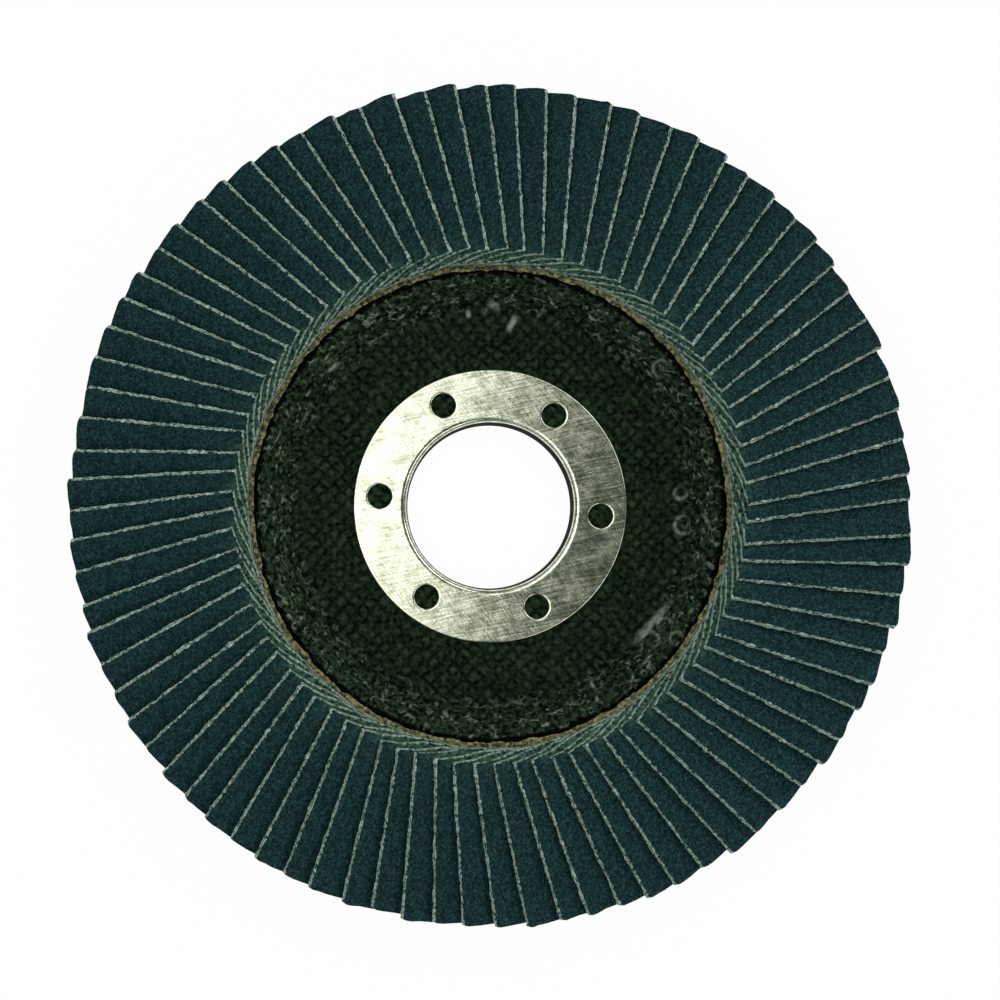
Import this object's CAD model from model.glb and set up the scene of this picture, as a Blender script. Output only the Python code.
import random
from math import asin, cos, exp, floor, hypot, pi, radians, sin, sqrt, tan

import bmesh
import bpy
from mathutils import Matrix, Vector, noise


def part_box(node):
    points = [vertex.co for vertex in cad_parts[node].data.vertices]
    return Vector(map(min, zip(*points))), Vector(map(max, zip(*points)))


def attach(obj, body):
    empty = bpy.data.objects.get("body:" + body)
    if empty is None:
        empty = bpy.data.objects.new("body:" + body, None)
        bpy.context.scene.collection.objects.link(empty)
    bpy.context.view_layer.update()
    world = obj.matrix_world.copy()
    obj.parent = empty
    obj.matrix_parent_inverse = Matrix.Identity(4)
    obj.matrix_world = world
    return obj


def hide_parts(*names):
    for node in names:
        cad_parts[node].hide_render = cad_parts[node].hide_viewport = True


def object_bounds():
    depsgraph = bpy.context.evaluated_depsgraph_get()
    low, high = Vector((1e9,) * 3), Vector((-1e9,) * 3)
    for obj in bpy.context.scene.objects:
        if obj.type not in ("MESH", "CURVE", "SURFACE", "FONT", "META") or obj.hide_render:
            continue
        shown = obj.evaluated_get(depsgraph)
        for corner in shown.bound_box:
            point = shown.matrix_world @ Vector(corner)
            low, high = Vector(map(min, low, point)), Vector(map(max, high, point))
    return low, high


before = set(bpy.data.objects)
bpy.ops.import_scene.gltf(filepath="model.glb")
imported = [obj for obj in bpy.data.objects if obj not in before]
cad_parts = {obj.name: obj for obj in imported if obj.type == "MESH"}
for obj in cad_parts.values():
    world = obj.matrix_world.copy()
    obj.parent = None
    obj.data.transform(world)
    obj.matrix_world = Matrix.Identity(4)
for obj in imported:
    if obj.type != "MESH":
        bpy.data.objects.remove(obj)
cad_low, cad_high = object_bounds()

# A flap disc: a pressed glass-fibre hub with a steel ring in its bore, and 84 flaps of abrasive
# cloth glued round it.  Metres and radians, with the working face up.

mm = 0.001

# ---------------------------------------------------------------- sizes
plate_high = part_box("backing_plate")[1]
ring_low, ring_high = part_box("centre_ring")
bed_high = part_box("adhesive_bed")[1]

plate_radius = plate_high.x
plate_thickness = 2.4 * mm
hub_floor_radius = 27 * mm
crest_radius = 31 * mm
shoulder_rise = 5.2 * mm
flange_fall = radians(10)
floor_bend = 1.5 * mm
crest_bend = 3.0 * mm
weave_pitch = 1.45 * mm  # of the glass fabric, from tow to tow

bore_radius = 11.115 * mm
ring_radius = ring_high.x
ring_top = ring_high.z
ring_sheet = 0.6 * mm
ring_clearance = 0.05 * mm
ring_bend = 0.7 * mm
ring_edge_round = 0.28 * mm
ring_dome = 0.03  # how far the sheet falls for each unit of radius
key_hole_count = 6
key_hole_radius = 1.6 * mm
key_hole_round = 0.28 * mm
key_hole_circle_radius = 15.25 * mm
key_hole_start = radians(-5.1)

bond_gap = 0.03 * mm
bed_start = 1.5 * mm  # outside the crest
bed_thickness = 0.4 * mm

flap_count = 84
flap_pairs = flap_count // 2
flap_pitch = 2 * pi / flap_count
flap_width = 15.4 * mm
flap_thickness = 0.9 * mm
flap_gap = 0.06 * mm
rim_opening = 0.65 * mm
flap_start = 2.9 * mm
first_flap_angle = radians(3.2)
disc_radius = 57.5 * mm
inner_reach = crest_radius + flap_start

chance = random.Random(84)


# ---------------------------------------------------------------- node helpers
def linear(hex_colour):
    """Scene-linear RGBA of an sRGB hex colour."""
    channels = [int(hex_colour[i:i + 2], 16) / 255 for i in (1, 3, 5)]
    return [c / 12.92 if c <= 0.04045 else ((c + 0.055) / 1.055) ** 2.4 for c in channels] + [1.0]


def add_node(tree, kind, inputs=None, **settings):
    """Adds a node with its settings; inputs maps a socket to a value or to another node's output."""
    node = tree.nodes.new(kind)
    for name, value in settings.items():
        setattr(node, name, value)
    for socket, value in (inputs or {}).items():
        if isinstance(value, bpy.types.NodeSocket):
            tree.links.new(value, node.inputs[socket])
        else:
            node.inputs[socket].default_value = value
    return node


def set_ramp(node, stops):
    """Sets a colour ramp's stops from (position, hex colour) pairs."""
    ramp = node.color_ramp
    while len(ramp.elements) < len(stops):
        ramp.elements.new(0.5)
    for element, (position, colour) in zip(ramp.elements, stops):
        element.position = position
        element.color = linear(colour)
    return node.outputs["Color"]


def new_material(name, **values):
    """A material with one Principled shader; values are its constant sockets."""
    material = bpy.data.materials.new(name)
    material.use_nodes = True
    tree = material.node_tree
    shader = tree.nodes["Principled BSDF"]
    for socket, value in values.items():
        shader.inputs[socket.replace("_", " ")].default_value = value
    return material, tree, shader


# ---------------------------------------------------------------- materials
def zirconia_grit_material():
    """Zirconia grain in dark teal size coat: dull crystals, each a little lighter or darker, with
    pale cloth showing where the coat has broken off along a cut edge."""
    material, tree, shader = new_material(
        "zirconia_grit_coat", Roughness=0.7, IOR=1.55, Specular_IOR_Level=0.08
    )
    place = add_node(tree, "ShaderNodeTexCoord").outputs["Object"]
    grain = 0.25 * mm
    crystals = add_node(tree, "ShaderNodeTexVoronoi", {"Vector": place, "Scale": 1 / grain})
    clumps = add_node(tree, "ShaderNodeTexNoise", {"Vector": place, "Scale": 1 / (0.35 * mm), "Detail": 3.0})
    tone = add_node(tree, "ShaderNodeMix", {0: 0.5, 2: crystals.outputs["Color"], 3: clumps.outputs["Fac"]})
    colour = set_ramp(
        add_node(tree, "ShaderNodeValToRGB", {0: tone.outputs[0]}),
        [(0.2, "#031315"), (0.4, "#0d2729"), (0.55, "#193639"), (0.75, "#2c4c4e"), (0.95, "#5e7d7c")],
    )
    edge = add_node(tree, "ShaderNodeAttribute", attribute_name="edge").outputs["Fac"]
    ragged = add_node(tree, "ShaderNodeTexNoise", {"Vector": place, "Scale": 1 / (0.5 * mm), "Detail": 3.0})
    bared = add_node(tree, "ShaderNodeMath", {0: edge, 1: ragged.outputs["Fac"]}, operation="ADD")
    bared = add_node(
        tree, "ShaderNodeMapRange", {0: bared.outputs[0], 1: 1.32, 2: 1.48}, interpolation_type="SMOOTHSTEP"
    )
    cloth = set_ramp(
        add_node(tree, "ShaderNodeValToRGB", {0: ragged.outputs["Fac"]}),
        [(0.35, "#5a7870"), (0.65, "#bcd0c2")],
    )
    hubward = add_node(tree, "ShaderNodeAttribute", attribute_name="glue").outputs["Fac"]
    mottle = add_node(tree, "ShaderNodeMapRange", {0: ragged.outputs["Fac"], 1: 0.38, 2: 0.62})
    smeared = add_node(tree, "ShaderNodeMath", {0: hubward, 1: mottle.outputs[0]}, operation="MULTIPLY")
    colour = add_node(
        tree, "ShaderNodeMix", {0: smeared.outputs[0], 6: colour, 7: linear("#587a62")}, data_type="RGBA"
    ).outputs[2]
    mixed = add_node(tree, "ShaderNodeMix", {0: bared.outputs[0], 6: colour, 7: cloth}, data_type="RGBA")
    tree.links.new(mixed.outputs[2], shader.inputs["Base Color"])
    bump = add_node(
        tree,
        "ShaderNodeBump",
        {"Height": crystals.outputs["Distance"], "Distance": 0.12 * mm, "Strength": 0.8},
        invert=True,
    )
    tree.links.new(bump.outputs[0], shader.inputs["Normal"])
    return material


def cut_cloth_material():
    """Cut edge of polyester-cotton cloth: a chain of chalky grey-green yarn ends with dark hollows
    between them, browner towards the hub where it has been smeared with glue."""
    material, tree, shader = new_material("cut_cloth_edge", Roughness=0.85, Specular_IOR_Level=0.2)
    place = add_node(tree, "ShaderNodeTexCoord").outputs["Object"]
    yarn = add_node(tree, "ShaderNodeTexNoise", {"Vector": place, "Scale": 1 / (0.38 * mm), "Detail": 3.0})
    colour = set_ramp(
        add_node(tree, "ShaderNodeValToRGB", {0: yarn.outputs["Fac"]}),
        [(0.34, "#1f393b"), (0.42, "#5c8077"), (0.52, "#b0c6b6"), (0.62, "#f8fbee")],
    )
    glued = set_ramp(
        add_node(tree, "ShaderNodeValToRGB", {0: yarn.outputs["Fac"]}),
        [(0.34, "#1d352f"), (0.43, "#486b58"), (0.53, "#738c69"), (0.63, "#aaac78")],
    )
    hubward = add_node(tree, "ShaderNodeAttribute", attribute_name="glue").outputs["Fac"]
    mixed = add_node(tree, "ShaderNodeMix", {0: hubward, 6: colour, 7: glued}, data_type="RGBA")
    tree.links.new(mixed.outputs[2], shader.inputs["Base Color"])
    bump = add_node(tree, "ShaderNodeBump", {"Height": yarn.outputs["Fac"], "Distance": 0.15 * mm})
    tree.links.new(bump.outputs[0], shader.inputs["Normal"])
    return material


def cloth_back_material():
    """Back of the abrasive cloth: a tight twill in dull sage, stiff with resin."""
    material, tree, shader = new_material("resin_filled_twill", Roughness=0.85)
    place = add_node(tree, "ShaderNodeTexCoord").outputs["Object"]
    rib = 0.5 * mm
    twill = add_node(
        tree,
        "ShaderNodeTexWave",
        {"Vector": place, "Scale": pi / 10 / rib, "Distortion": 1.5, "Detail": 2.0, "Detail Scale": 0.5},
        bands_direction="DIAGONAL",
    )
    colour = set_ramp(
        add_node(tree, "ShaderNodeValToRGB", {0: twill.outputs["Fac"]}),
        [(0.1, "#5c6c5e"), (0.8, "#8d9b86")],
    )
    tree.links.new(colour, shader.inputs["Base Color"])
    bump = add_node(tree, "ShaderNodeBump", {"Height": twill.outputs["Fac"], "Distance": 0.06 * mm})
    tree.links.new(bump.outputs[0], shader.inputs["Normal"])
    return material


def glass_fabric_material():
    """Black phenolic resin pressed over glass fabric: dull and nearly black, faintly green, open
    in pits of the weave; where resin has pooled, its skin has glossy, worm-like grey wrinkles."""
    material, tree, shader = new_material("phenolic_glass_fabric", IOR=1.6)
    place = add_node(tree, "ShaderNodeTexCoord").outputs["Object"]
    pits, tows, pooled, smears = (
        add_node(tree, "ShaderNodeAttribute", attribute_name=name).outputs["Fac"]
        for name in ("pit", "tow", "pooled", "smear")
    )
    lumps = add_node(
        tree, "ShaderNodeTexNoise", {"Vector": place, "Scale": 1 / (0.6 * mm), "Detail": 4.0}
    ).outputs["Fac"]
    skin = add_node(
        tree,
        "ShaderNodeTexNoise",
        {"Vector": place, "Scale": 1 / (1.5 * mm), "Detail": 1.0, "Distortion": 0.7},
    ).outputs["Fac"]
    patches = add_node(
        tree, "ShaderNodeTexNoise", {"Vector": place, "Scale": 1 / (1.2 * mm), "Detail": 1.0}
    ).outputs["Fac"]

    # A wrinkle runs wherever the skin's noise crosses its middle value, in patches of the pooled resin.
    off_crease = add_node(tree, "ShaderNodeMath", {0: skin, 1: 0.5}, operation="SUBTRACT").outputs[0]
    off_crease = add_node(tree, "ShaderNodeMath", {0: off_crease}, operation="ABSOLUTE").outputs[0]
    worms = add_node(tree, "ShaderNodeMapRange", {0: off_crease, 1: 0.07, 2: 0.0}).outputs[0]
    shown = add_node(tree, "ShaderNodeMapRange", {0: patches, 1: 0.5, 2: 0.62}).outputs[0]
    worms = add_node(tree, "ShaderNodeMath", {0: worms, 1: shown}, operation="MULTIPLY").outputs[0]
    glints = add_node(tree, "ShaderNodeMath", {0: worms, 1: pooled}, operation="MULTIPLY").outputs[0]
    mottle = add_node(tree, "ShaderNodeMapRange", {0: lumps, 1: 0.25, 2: 0.5}).outputs[0]
    smeared = add_node(tree, "ShaderNodeMath", {0: smears, 1: mottle}, operation="MULTIPLY").outputs[0]
    glints = add_node(tree, "ShaderNodeMath", {0: glints, 1: smeared}, operation="MAXIMUM").outputs[0]

    tone = add_node(tree, "ShaderNodeMix", {0: 0.24, 2: lumps, 3: tows}).outputs[0]
    tone = add_node(tree, "ShaderNodeMath", {0: tone, 1: 0.5}, operation="SUBTRACT").outputs[0]
    contrast = add_node(tree, "ShaderNodeMath", {0: pooled, 1: 1.0}, operation="ADD").outputs[0]
    tone = add_node(
        tree, "ShaderNodeMath", {0: tone, 1: contrast, 2: 0.5}, operation="MULTIPLY_ADD"
    ).outputs[0]
    tone = add_node(tree, "ShaderNodeMath", {0: tone, 1: pits}, operation="SUBTRACT").outputs[0]
    colour = set_ramp(
        add_node(tree, "ShaderNodeValToRGB", {0: tone}),
        [(0.24, "#010301"), (0.37, "#0e180e"), (0.48, "#1b2a1b"), (0.7, "#324231")],
    )
    mixed = add_node(tree, "ShaderNodeMix", {0: glints, 6: colour, 7: linear("#869686")}, data_type="RGBA")
    tree.links.new(mixed.outputs[2], shader.inputs["Base Color"])
    shine = add_node(tree, "ShaderNodeMapRange", {0: glints, 3: 0.02, 4: 0.5})
    tree.links.new(shine.outputs[0], shader.inputs["Specular IOR Level"])
    polish = add_node(tree, "ShaderNodeMapRange", {0: glints, 3: 0.6, 4: 0.3})
    tree.links.new(polish.outputs[0], shader.inputs["Roughness"])
    height = add_node(tree, "ShaderNodeMath", {0: glints, 1: lumps}, operation="ADD").outputs[0]
    relief = add_node(tree, "ShaderNodeMapRange", {0: pooled, 3: 0.3, 4: 0.8}).outputs[0]
    bump = add_node(tree, "ShaderNodeBump", {"Height": height, "Distance": 0.5 * mm, "Strength": relief})
    tree.links.new(bump.outputs[0], shader.inputs["Normal"])
    return material


def brushed_steel_material():
    """Bright-plated mild steel, linished and then handled: a near-mirror broken by streaks and
    cross scratches, with a warm tint and darker scuffed patches.

    Real linishing marks are a tenth as wide; finer than this they would not show.
    """
    material, tree, shader = new_material("linished_plated_steel", Metallic=1.0)
    place = add_node(tree, "ShaderNodeTexCoord").outputs["Object"]
    streak_width = 0.26 * mm
    streaks = []
    for length, turn in ((4.5 * mm, -12), (2.5 * mm, 50)):
        along = add_node(
            tree, "ShaderNodeMapping", {"Vector": place, "Rotation": (0, 0, radians(turn))}
        ).outputs[0]
        along = add_node(
            tree, "ShaderNodeMapping", {"Vector": along, "Scale": (1 / length, 1 / streak_width, 1)}
        ).outputs[0]
        streak = add_node(tree, "ShaderNodeTexNoise", {"Vector": along, "Scale": 1.0, "Detail": 4.0})
        streaks.append(streak.outputs["Fac"])
    scratches = add_node(tree, "ShaderNodeMix", {0: 0.35, 2: streaks[0], 3: streaks[1]}).outputs[0]
    scuffs = add_node(
        tree,
        "ShaderNodeTexNoise",
        {"Vector": place, "Scale": 1 / (2.6 * mm), "Detail": 7.0, "Roughness": 0.75},
    )
    tone = add_node(tree, "ShaderNodeMix", {0: 0.5, 2: scratches, 3: scuffs.outputs["Fac"]})
    colour = set_ramp(
        add_node(tree, "ShaderNodeValToRGB", {0: tone.outputs[0]}),
        [(0.37, "#878d75"), (0.46, "#bfc4ab"), (0.56, "#eef0da")],
    )
    tree.links.new(colour, shader.inputs["Base Color"])
    gloss = add_node(tree, "ShaderNodeMapRange", {0: tone.outputs[0], 1: 0.4, 2: 0.6, 3: 0.12, 4: 0.19})
    tree.links.new(gloss.outputs[0], shader.inputs["Roughness"])
    bump = add_node(tree, "ShaderNodeBump", {"Height": tone.outputs[0], "Distance": 0.04 * mm})
    tree.links.new(bump.outputs[0], shader.inputs["Normal"])
    return material


def resin_film_material():
    """Black phenolic resin squeezed over the wall of the steel collar: dull and nearly black."""
    return new_material(
        "phenolic_film", Base_Color=linear("#0b100b"), Roughness=0.8, Specular_IOR_Level=0.1
    )[0]


def epoxy_material():
    """Cured epoxy adhesive: an uneven tan-olive bead with a soft gloss."""
    material, tree, shader = new_material("cured_epoxy", Roughness=0.6, Specular_IOR_Level=0.3)
    place = add_node(tree, "ShaderNodeTexCoord").outputs["Object"]
    cloud = add_node(tree, "ShaderNodeTexNoise", {"Vector": place, "Scale": 1 / (0.5 * mm), "Detail": 4.0})
    colour = set_ramp(
        add_node(tree, "ShaderNodeValToRGB", {0: cloud.outputs["Fac"]}),
        [(0.36, "#23281a"), (0.47, "#5d6340"), (0.56, "#8b8556"), (0.66, "#b5a878")],
    )
    tree.links.new(colour, shader.inputs["Base Color"])
    bump = add_node(tree, "ShaderNodeBump", {"Height": cloud.outputs["Fac"], "Distance": 0.15 * mm})
    tree.links.new(bump.outputs[0], shader.inputs["Normal"])
    return material


def paper_sweep_material():
    """Matt white paper sweep: reads as plain white, and keeps a faint shadow."""
    material, tree, shader = new_material("white_paper_sweep", Roughness=0.9)
    shader.inputs["Base Color"].default_value = linear("#ffffff")
    shown = add_node(tree, "ShaderNodeLightPath").outputs
    seen = add_node(
        tree, "ShaderNodeMath", {0: shown["Is Camera Ray"], 1: shown["Is Glossy Ray"]}, operation="MAXIMUM"
    )
    seen = add_node(
        tree, "ShaderNodeMath", {0: seen.outputs[0], 1: shown["Is Transmission Ray"]}, operation="MAXIMUM"
    )
    whiteness = add_node(tree, "ShaderNodeMath", {0: seen.outputs[0], 1: 0.985}, operation="MULTIPLY")
    white = add_node(tree, "ShaderNodeEmission", {"Color": linear("#ffffff"), "Strength": 1.0})
    mixed = add_node(
        tree, "ShaderNodeMixShader", {0: whiteness.outputs[0], 1: shader.outputs[0], 2: white.outputs[0]}
    )
    tree.links.new(mixed.outputs[0], tree.nodes["Material Output"].inputs["Surface"])
    return material


# ---------------------------------------------------------------- mesh helpers
def finished(name, bm, materials, node=None, sharp=radians(50)):
    """Makes a bmesh an object that rides on the part and stands for a CAD node."""
    mesh = bpy.data.meshes.new(name)
    bm.to_mesh(mesh)
    bm.free()
    for material in materials:
        mesh.materials.append(material)
    mesh.shade_smooth()
    mesh.set_sharp_from_angle(angle=sharp)
    piece = bpy.data.objects.new(name, mesh)
    bpy.context.scene.collection.objects.link(piece)
    if node:
        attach(piece, "root")
        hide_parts(node)
    return piece


def wire(bm, points, closed=True):
    """Edges through (radius, height) points on the XZ plane."""
    verts = [bm.verts.new((radius, 0, height)) for radius, height in points]
    ends = verts[1:] + verts[:1] if closed else verts[1:]
    return [bm.edges.new(pair) for pair in zip(verts, ends)]


def spin_round(bm, steps):
    """Spins everything in bm a full turn about the Z axis."""
    bmesh.ops.spin(
        bm,
        geom=list(bm.verts) + list(bm.edges),
        cent=(0, 0, 0),
        axis=(0, 0, 1),
        angle=2 * pi,
        steps=steps,
        use_merge=True,
    )
    bmesh.ops.remove_doubles(bm, verts=list(bm.verts), dist=0.0005 * mm)
    bmesh.ops.recalc_face_normals(bm, faces=list(bm.faces))


def rounded(before, corner, after, radius, steps=6):
    """Points of the arc that rounds a corner of a profile."""
    corner = Vector(corner)
    to_before = (Vector(before) - corner).normalized()
    to_after = (Vector(after) - corner).normalized()
    half_angle = to_before.angle(to_after) / 2
    centre = corner + (to_before + to_after).normalized() * radius / sin(half_angle)
    reach = radius / tan(half_angle)
    start = (corner + to_before * reach - centre).normalized()
    end = (corner + to_after * reach - centre).normalized()
    return [tuple(centre + start.slerp(end, i / steps) * radius) for i in range(steps + 1)]


def ripple(position, size, seed=0.0):
    """Smooth noise between about -1 and 1 with features of a given size."""
    return noise.noise(Vector(position) / size + Vector((seed, seed * 1.7, seed * 0.3)))


# ---------------------------------------------------------------- backing plate
def flange_top(radius):
    """Height of the flange's upper face at a radius."""
    return plate_thickness + shoulder_rise - (radius - crest_radius) * tan(flange_fall)


def weave(x, y):
    """Height, from 0 to 1, and open pits, from 0 to 1, of plain glass weave laid at 45 degrees."""
    wander = 0.45
    drift = Vector((ripple((x, y, 0), 4 * mm, 1.0), ripple((x, y, 0), 4 * mm, 2.0))) * wander
    column = (x + y) / sqrt(2) / weave_pitch + drift.x
    row = (x - y) / sqrt(2) / weave_pitch + drift.y
    warp_on_top = (floor(column) + floor(row)) % 2
    fullness = 0.5 + 0.5 * noise.cell((column, row, 0))
    openness = 0.5 + 0.5 * noise.cell((column, row, 1))
    u, v = column % 1 - 0.5, row % 1 - 0.5
    if not warp_on_top:
        u, v = v, u
    clear = min(1.0, max(0.3, 0.8 + 0.9 * ripple((x, y, 0), 3 * mm, 12.0)))  # of resin in the pits
    height = cos(pi * v) ** 1.4 * (0.8 + 0.2 * cos(pi * u)) * (0.35 + 0.65 * fullness)
    slot = exp(-(((abs(u) - 0.5) / 0.12) ** 2)) * exp(-((v / 0.27) ** 2)) * min(1.0, 1.6 * openness)
    return height, slot * clear


# Smears of resin on the hub: place, half length, half width in mm, and direction in degrees.
resin_smears = [
    (0.5, 27.5, 0.8, 0.45, 160),
    (3.0, 25.1, 1.1, 0.4, 62),
    (-3.0, 26.4, 0.5, 0.3, 100),
    (22.4, -15.8, 3.3, 0.42, 49),
    (27.5, -14.4, 0.5, 0.25, 60),
    (21.5, -21.0, 0.8, 0.22, 45),
    (29.6, -1.9, 0.6, 0.22, 120),
    (-21.5, 19.0, 0.9, 0.25, 40),
    (14.0, -24.5, 0.6, 0.25, 120),
]
# Open blisters in it: place and radius in mm, and the side on which the lip is thickest.
resin_blisters = [
    (23.4, 18.8, 1.15, 150),
    (26.6, -2.6, 1.2, 200),
    (23.9, -16.3, 0.95, 120),
    (22.0, -18.3, 1.1, 60),
    (25.5, -18.1, 0.9, 130),
    (26.2, 1.8, 0.8, 250),
]


def resin_smear(x, y):
    """How thickly smears of resin and the lips of blisters cover a place on the hub, from 0 to 1."""
    cover = 0.0
    x, y = x / mm, y / mm
    for place_x, place_y, half_length, half_width, turn in resin_smears:
        off = Vector((x - place_x, y - place_y))
        if off.length < 5:  # a smear fades out well within this
            off.rotate(Matrix.Rotation(-radians(turn), 2))
            cover += exp(-((off.x / half_length) ** 4) - (off.y / half_width) ** 4)
    for place_x, place_y, radius, side in resin_blisters:
        off = Vector((x - place_x, y - place_y))
        if 0 < off.length < 3:
            lip = Vector((cos(radians(side)), sin(radians(side))))
            thick = 0.5 + 0.5 * off.normalized().dot(lip)
            cover += thick * exp(-(((off.length - radius) / 0.2) ** 2))
    return min(1.0, cover)


def press_weave(bm):
    """Raises the weave, the lumps of the shoulder and the smears in the skin that shows, and
    marks each place with the pits, tows, pooled resin and smears that its material reads."""
    pit = bm.verts.layers.float.new("pit")
    tow = bm.verts.layers.float.new("tow")
    pooled = bm.verts.layers.float.new("pooled")
    smeared = bm.verts.layers.float.new("smear")
    bm.normal_update()
    for vert in bm.verts:
        radius = vert.co.xy.length
        if vert.normal.z < 0.3 or not bore_radius + ring_sheet < radius < 38 * mm:
            continue
        height, open_pit = weave(vert.co.x, vert.co.y)
        shoulder = min(1.0, max(0.0, (radius - 26 * mm) / (3 * mm)))
        crevice = min(1.0, max(0.0, (radius - 31.6 * mm) / (0.5 * mm)))  # dark, beside the glue
        lumps = ripple(vert.co, 1.3 * mm, 3.0) + 0.6 * ripple(vert.co, 0.6 * mm, 4.0)
        smear = resin_smear(vert.co.x, vert.co.y)
        vert[pooled] = shoulder * (1 - crevice)
        vert[smeared] = smear
        vert[tow] = height * (1 - 0.5 * shoulder) + 0.4 * shoulder
        vert[pit] = 0.5 * open_pit * (1 - 0.6 * shoulder) + 0.5 * crevice
        raised = 0.16 * height - 0.16 * open_pit + (0.04 + 0.1 * shoulder) * lumps + 0.08 * smear
        vert.co += vert.normal * (raised - 0.12) * mm


def backing_plate():
    """Pressed hub: profile spun round the axis, with a fine mesh in the skin that shows."""
    bm = bmesh.new()
    floor_foot = (hub_floor_radius, plate_thickness)
    crest = (crest_radius, flange_top(crest_radius))
    rim = (plate_radius, flange_top(plate_radius))
    bore = (bore_radius + ring_sheet + ring_clearance, plate_thickness)
    hidden_start = 35 * mm
    upper = [bore] + rounded(bore, floor_foot, crest, floor_bend)
    upper += rounded(floor_foot, crest, rim, crest_bend) + [(hidden_start, flange_top(hidden_start)), rim]
    # The corners of the underside keep the wall one thickness.
    drop = plate_thickness
    rim_foot = (plate_radius - drop * sin(flange_fall), rim[1] - drop * cos(flange_fall))
    crest_foot = (crest_radius - 0.4 * mm, flange_top(crest_radius) - drop * 1.16)
    floor_heel = (hub_floor_radius + drop * 0.49, 0)
    lower = [rim_foot, crest_foot, floor_heel, (bore[0], 0)]
    fine = 0.23 * mm
    for edge in wire(bm, upper + lower):
        low, high = sorted((vert.co for vert in edge.verts), key=lambda place: place.z)
        middle = (low + high) / 2
        shows = low.z > plate_thickness * 0.99 and 12 * mm < middle.x < hidden_start
        if shows and edge.calc_length() > fine:
            bmesh.ops.subdivide_edges(bm, edges=[edge], cuts=int(edge.calc_length() / fine))
    spin_round(bm, 780)
    press_weave(bm)
    finished("hub", bm, [glass_fabric_material()], "backing_plate")


# ---------------------------------------------------------------- centre ring
def rolled(bm, edges, centre, steps):
    """Extrudes a loop of edges through rings of (radius, height) about its centre."""
    for radius, height in steps:
        made = bmesh.ops.extrude_edge_only(bm, edges=edges)["geom"]
        verts = [g for g in made if isinstance(g, bmesh.types.BMVert)]
        edges = [g for g in made if isinstance(g, bmesh.types.BMEdge)]
        edges = [e for e in edges if e.verts[0] in verts and e.verts[1] in verts]
        for vert in verts:
            out = (vert.co - centre).xy.normalized() * radius
            vert.co = Vector((centre.x + out.x, centre.y + out.y, height))
    return edges


def circle_edges(bm, centre, radius, segments):
    """A loop of edges round a centre."""
    made = bmesh.ops.create_circle(
        bm, segments=segments, radius=radius, matrix=Matrix.Translation(centre)
    )
    verts = set(made["verts"])
    return [e for e in bm.edges if e.verts[0] in verts and e.verts[1] in verts]


def quarter_round(radius, height, turn_radius, steps, outwards):
    """Rings of (radius, height) that turn a flat face down through a quarter circle."""
    rings = []
    for i in range(1, steps + 1):
        angle = pi / 2 * i / steps
        rings.append((radius + outwards * turn_radius * sin(angle), height - turn_radius * (1 - cos(angle))))
    return rings


def centre_ring():
    """Pressed steel ring: a slightly domed sheet with a rolled outer edge, six punched holes with
    rolled lips and a collar turned down through the bore."""
    bm = bmesh.new()
    top, under = ring_top, ring_top - ring_sheet
    within_sheet = under - 0.01 * mm
    upper_loops, lower_loops = [], []
    collar_top_radius = bore_radius + 0.42 * mm
    collar_foot_radius = bore_radius + 0.08 * mm
    collar_foot_shift = Vector((-0.2, -0.14)) * mm  # the foot is a little out of true
    wall_radius = bore_radius + ring_sheet

    def pressed(centre, flat_radius, outwards, turn_radius, segments, wall):
        """Turns the sheet's upper face down round a circle, with a narrow flat margin before it."""
        margin = 0.12 * mm
        loop = circle_edges(bm, centre + Vector((0, 0, top)), flat_radius - outwards * margin, segments)
        upper_loops.extend(loop)
        rings = [(flat_radius, top)] + quarter_round(flat_radius, top, turn_radius, 7, outwards) + wall
        lower_loops.extend(rolled(bm, loop, centre, rings))

    axis = Vector((0, 0, 0))
    pressed(axis, ring_radius - ring_edge_round, 1, ring_edge_round, 240, [(ring_radius, under)])
    collar = [(collar_foot_radius, ring_low.z), (wall_radius, ring_low.z), (wall_radius, under)]
    pressed(axis, collar_top_radius + ring_bend, -1, ring_bend, 200, collar)
    for number in range(key_hole_count):
        angle = key_hole_start + number * 2 * pi / key_hole_count
        centre = Vector((cos(angle), sin(angle), 0)) * key_hole_circle_radius
        wall = [(key_hole_radius, under)]
        pressed(centre, key_hole_radius + key_hole_round, -1, key_hole_round, 48, wall)
    for loops in (upper_loops, lower_loops):
        bmesh.ops.triangle_fill(bm, use_beauty=True, edges=loops)

    # A grid of cuts in the flat faces lets the dome curve evenly.
    flats = [f for f in bm.faces if abs(f.normal.z) > 0.99 and f.calc_center_median().z > within_sheet]
    parts = list(dict.fromkeys(p for face in flats for p in (face, *face.edges, *face.verts)))
    for direction in (Vector((1, 0, 0)), Vector((0, 1, 0))):
        for step in range(-12, 13):
            line = direction * step * 1.5 * mm
            cut = bmesh.ops.bisect_plane(bm, geom=parts, dist=1e-7, plane_co=line, plane_no=direction)
            parts = cut["geom"]
    bmesh.ops.recalc_face_normals(bm, faces=list(bm.faces))
    for face in bm.faces:
        middle = face.calc_center_median()
        if middle.xy.length < collar_top_radius and middle.z < top - ring_bend:
            face.material_index = 1
    for vert in bm.verts:
        if vert.co.z > within_sheet:
            vert.co.z -= (vert.co.xy.length - bore_radius) * ring_dome
        elif vert.co.xy.length < bore_radius + 0.1 * mm:
            vert.co.xy += collar_foot_shift
    materials = [brushed_steel_material(), resin_film_material()]
    finished("steel_ring", bm, materials, "centre_ring", sharp=radians(35))


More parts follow.
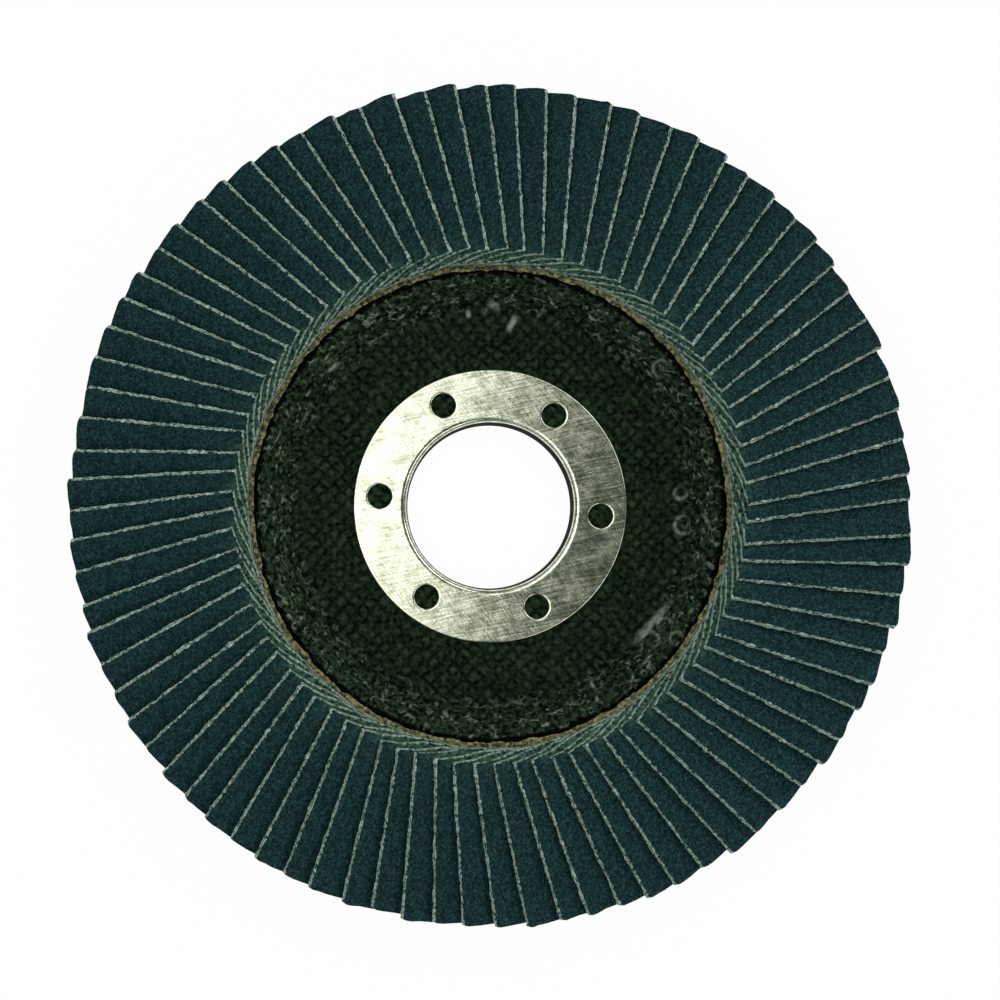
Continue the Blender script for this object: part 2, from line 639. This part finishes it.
# ---------------------------------------------------------------- adhesive
def adhesive_bed():
    """Band of epoxy on the flange, with a lumpy inner edge where it squeezed out."""
    bm = bmesh.new()
    inner, outer = crest_radius + bed_start, bed_high.x
    lift = bond_gap / cos(flange_fall)
    thick = bed_thickness / cos(flange_fall)
    points = [(outer, flange_top(outer) + lift), (inner, flange_top(inner) + lift)]
    for share, height in ((-0.1, 0.3), (0.0, 0.7), (0.25, 1.0), (0.6, 1.05), (1.2, 1.0)):
        radius = inner + share * mm
        points.append((radius, flange_top(radius) + lift + thick * height))
    points.append((outer, flange_top(outer) + lift + thick))
    wire(bm, points)
    spin_round(bm, 480)
    for vert in bm.verts:
        radius = vert.co.xy.length
        if radius > inner + 2 * mm:
            continue
        swell = ripple(vert.co, 2.2 * mm, 5.0) + 0.6 * ripple(vert.co, 0.8 * mm, 6.0)
        vert.co.xy *= 1 + 0.33 * mm * swell / radius
        if vert.normal.z > 0.2:
            vert.co.z += 0.1 * mm * ripple(vert.co, 1.1 * mm, 7.0)
    finished("glue_bead", bm, [epoxy_material()], "adhesive_bed")


# ---------------------------------------------------------------- flaps
def lean_at(reach):
    """Angle by which a flap is tipped about its own length, so that it lies on the next one."""
    outward = (reach - inner_reach) / (disc_radius - inner_reach)
    spacing = flap_thickness + flap_gap + rim_opening * outward
    foot_fall = flap_width / 2 * sin(flange_fall)
    return asin((spacing / flap_pitch + foot_fall) / reach)


def flap_section(reach):
    """Where a flap's section lies at a distance from the axis: the middle of its under face, and
    its directions across and through."""
    lean, fall = lean_at(reach), flange_fall
    half_rise = flap_width / 2 * sin(lean)
    foot_radius = hypot(reach - half_rise * sin(fall), flap_width / 2 * cos(lean))
    bed_top = flange_top(foot_radius) + (bond_gap + bed_thickness) / cos(fall)
    middle = Vector((reach, 0, bed_top + bond_gap + half_rise * cos(fall)))
    across = Vector((-sin(lean) * sin(fall), cos(lean), -sin(lean) * cos(fall)))
    through = Vector((sin(fall) * cos(lean), sin(lean), cos(fall) * cos(lean)))
    return middle, across, through


rim_lean = lean_at(disc_radius)
half_span = flap_width / 2 * cos(rim_lean) + flap_thickness * sin(rim_lean)
trimmed_reach = sqrt(disc_radius**2 - half_span**2)
flap_length = trimmed_reach - inner_reach
steps_along, steps_across = 104, 9  # of a flap's grid, which is finer towards its open edge


def loose_thread(bm, root, direction, length):
    """A short stiff yarn end."""
    turn = direction.to_track_quat("Z", "Y").to_matrix().to_4x4()
    matrix = Matrix.Translation(root + direction * length / 2) @ turn
    bmesh.ops.create_cone(
        bm, segments=5, radius1=0.06 * mm, radius2=0.03 * mm, depth=length, cap_ends=True, matrix=matrix
    )


def cut_sheet(bm, edge, draw, shift):
    """A grid the size of a flap, with x along it and y across from its open edge, cut a little
    ragged.  edge marks how near to a cut each place is."""
    bmesh.ops.create_grid(bm, x_segments=steps_along, y_segments=steps_across, size=0.5)
    inset = draw.uniform(-0.18, 0.12) * mm
    trim = draw.uniform(-0.5, 0.1) * mm
    trim_slant = draw.uniform(0.0, 0.055)
    for vert in bm.verts:
        share = vert.co.x + 0.5
        across = (vert.co.y + 0.5) ** 2.2 * flap_width
        along = share * (flap_length + trim + trim_slant * min(across, 5 * mm))
        from_hub, from_rim = share * flap_length, (1 - share) * flap_length
        place = Vector((along, across, 0)) + shift
        if across < 3 * mm:
            crown_wave = 0.14 * ripple(place, 2.5 * mm) + 0.12 * ripple(place, 0.8 * mm, 8.0)
            across += crown_wave * mm * exp(-across / (0.8 * mm))
        if from_hub < 8 * mm:
            end_wave = 0.1 * ripple(place, 1.2 * mm, 9.0) + 0.06 * ripple(place, 0.4 * mm, 10.0)
            foot_reach = 0.7 * mm * min(1.0, max(0.0, (across - 3 * mm) / (4 * mm)))
            along += (end_wave * mm + inset - foot_reach) * exp(-from_hub / (2 * mm))
        if from_rim < 2 * mm:
            rim_wave = 0.2 * ripple(place, 1.4 * mm, 14.0) + 0.14 * ripple(place, 0.5 * mm, 15.0)
            corner = exp(-across / (0.3 * mm))
            along -= (abs(rim_wave) + 0.3 * corner) * mm * exp(-from_rim / (0.5 * mm))
        near = max(min(across, from_hub, from_rim + 0.1 * mm), 0)
        vert[edge] = exp(-near / (0.2 * mm))
        vert.co = (along, across, 0)


def thicken_sheet(bm, edge, draw, shift):
    """Gives the cut sheet its thickness, with yarn ends and a few knots standing out of the cuts."""
    count = draw.randint(4, 9)
    knots = [(draw.uniform(0, flap_length), draw.uniform(0.08, 0.22) * mm) for _ in range(count)]
    knots.append((0.15 * mm, 0.12 * mm))
    extruded = bmesh.ops.extrude_face_region(bm, geom=list(bm.faces), use_keep_orig=True)["geom"]
    grit_side = {g for g in extruded if isinstance(g, bmesh.types.BMVert)}
    for vert in grit_side:
        vert.co.z = flap_thickness
    walls = [e for e in bm.edges if (e.verts[0] in grit_side) != (e.verts[1] in grit_side)]
    inner = bmesh.ops.subdivide_edges(bm, edges=walls, cuts=3)["geom_inner"]
    for vert in [g for g in inner if isinstance(g, bmesh.types.BMVert)]:
        vert[edge] = 1.0
        along, across, depth = vert.co
        place = Vector((along, across, depth * 2)) + shift
        hubward = exp(-along / (7 * mm))
        lump = 0.03 + 0.04 * hubward + (0.11 + 0.04 * hubward) * ripple(place, 0.4 * mm, 11.0)
        bulge = sin(pi * depth / flap_thickness)
        swell = sum(size * exp(-(((along - spot) / (0.3 * mm)) ** 2)) for spot, size in knots)
        if across < 0.6 * mm:
            vert.co.y -= (lump * mm + swell) * bulge
        if along < 0.6 * mm:
            vert.co.x -= lump * mm * bulge
    coat_depth = 0.62 * flap_thickness
    for face in bm.faces:
        height = face.calc_center_median().z
        face.material_index = 0 if height > coat_depth else 2 if height < 1e-6 else 1


def cloth_flap(angle, slides, seed):
    """One flap as a mesh: a sheet cut to size, given its thickness and laid in its place.

    slides says how far it has slipped down its slope at its inner end and at the rim.
    """
    bm = bmesh.new()
    edge = bm.verts.layers.float.new("edge")
    glue = bm.verts.layers.float.new("glue")
    draw = random.Random(seed)
    shift = Vector((draw.uniform(0, 50), draw.uniform(0, 50), 0)) * mm
    cut_sheet(bm, edge, draw, shift)
    thicken_sheet(bm, edge, draw, shift)
    for vert in bm.verts:
        vert[glue] = min(1.0, exp(-vert.co.x / (1.5 * mm)) * max(0.0, (vert.co.y - 0.5 * mm) / (3 * mm)))
    for _ in range(draw.randint(0, 2)):
        root = Vector((draw.uniform(0, 0.6) * flap_length, 0, 0.4 * flap_thickness))
        direction = Vector((draw.uniform(-1, 1), -draw.uniform(0.3, 1), draw.uniform(0, 0.7))).normalized()
        loose_thread(bm, root, direction, draw.uniform(0.3, 0.8) * mm)
    spin = Matrix.Rotation(angle, 3, "Z")
    for vert in bm.verts:
        along, across, depth = vert.co
        middle, cross, through = flap_section(inner_reach + along)
        slide = slides[0] + (slides[1] - slides[0]) * along / flap_length
        point = middle + cross * (across - flap_width / 2 + slide) + through * depth
        vert.co = spin @ point
    bmesh.ops.recalc_face_normals(bm, faces=list(bm.faces))
    mesh = bpy.data.meshes.new(f"flap_{seed}")
    bm.to_mesh(mesh)
    bm.free()
    return mesh


def flap_pieces():
    """Two opposite flaps to a piece, one piece for each CAD node."""
    materials = [zirconia_grit_material(), cut_cloth_material(), cloth_back_material()]
    slides = []
    inner_slide = 0.0
    for number in range(flap_count):
        inner_slide = 0.5 * inner_slide + chance.uniform(-0.34, 0.34) * mm
        slides.append((inner_slide, inner_slide + chance.uniform(-0.3, 0.3) * mm))
    for pair in range(flap_pairs):
        bm = bmesh.new()
        for number in (pair, pair + flap_pairs):
            angle = first_flap_angle + (number + 1) * flap_pitch
            bm.from_mesh(cloth_flap(angle, slides[number], number))
        node = f"flap_pair_{pair + 1:02d}"
        finished(f"cloth_{node}", bm, materials, node, sharp=radians(60))


# ---------------------------------------------------------------- studio
def paper_sweep():
    """White floor that curves up all round, well outside the disc."""
    bm = bmesh.new()
    wire(bm, [(0, 0), (2.6, 0), (3.1, 0.14), (3.4, 0.5), (3.5, 1.1)], closed=False)
    spin_round(bm, 96)
    for face in bm.faces:
        if face.normal.z < 0:
            face.normal_flip()
    sweep = finished("paper_sweep", bm, [paper_sweep_material()])
    sweep.location.z = cad_low.z - 0.02 * mm


def soft_box(name, place, width, height, radiance, turn=None):
    """Rectangular lamp that faces the disc, or straight down where it is given a turn about the
    vertical."""
    data = bpy.data.lights.new(name, "AREA")
    data.shape = "RECTANGLE"
    data.size, data.size_y = width, height
    data.energy = radiance * pi * width * height
    lamp = bpy.data.objects.new(name, data)
    bpy.context.scene.collection.objects.link(lamp)
    lamp.location = place
    if turn is None:
        lamp.rotation_euler = (-place).to_track_quat("-Z", "Y").to_euler()
    else:
        lamp.rotation_euler = (0, 0, turn)


def studio():
    """Four lamps round the disc, one overhead to the left that the steel mirrors, and a dim room."""
    for number, radiance in enumerate((2.4, 0.9, 0.55, 1.8)):
        angle = radians(45 + 90 * number)
        place = Vector((cos(angle), sin(angle), 0)) * 0.75 + Vector((0, 0, 0.7))  # out, and up
        soft_box(f"side_lamp_{number + 1}", place, 1.0, 0.45, radiance)
    overhead_side = radians(168)
    overhead_width = 0.6
    edge_to_axis = 0.03  # its near edge just misses the view straight down
    place = Vector((cos(overhead_side), sin(overhead_side), 0)) * (overhead_width / 2 + edge_to_axis)
    place.z = 0.95
    soft_box("overhead_lamp", place, overhead_width, 0.8, 2.1, turn=overhead_side - pi)
    world = bpy.data.worlds.new("dim_room")
    world.use_nodes = True
    world.node_tree.nodes["Background"].inputs["Color"].default_value = linear("#4b544e")
    world.node_tree.nodes["Background"].inputs["Strength"].default_value = 1.0
    bpy.context.scene.world = world


def camera():
    """Straight above the working face and a little off the axis, with +Y at the picture's top."""
    span = 136.75 * mm  # width seen at the height of the flaps' outer corners
    corner_height = 10.5 * mm
    distance = 1500 * mm
    data = bpy.data.cameras.new("camera")
    data.sensor_width = 36
    data.lens = data.sensor_width * distance / span
    data.clip_start, data.clip_end = 0.01, 20
    eye = bpy.data.objects.new("camera", data)
    bpy.context.scene.collection.objects.link(eye)
    off_centre = Vector((9.95, 6.15)) * span / 1000  # in thousandths of the width seen
    eye.location = (off_centre.x, off_centre.y, corner_height + distance)
    bpy.context.scene.camera = eye


backing_plate()
centre_ring()
adhesive_bed()
flap_pieces()
paper_sweep()
studio()
camera()
bpy.context.scene.view_settings.view_transform = "Standard"
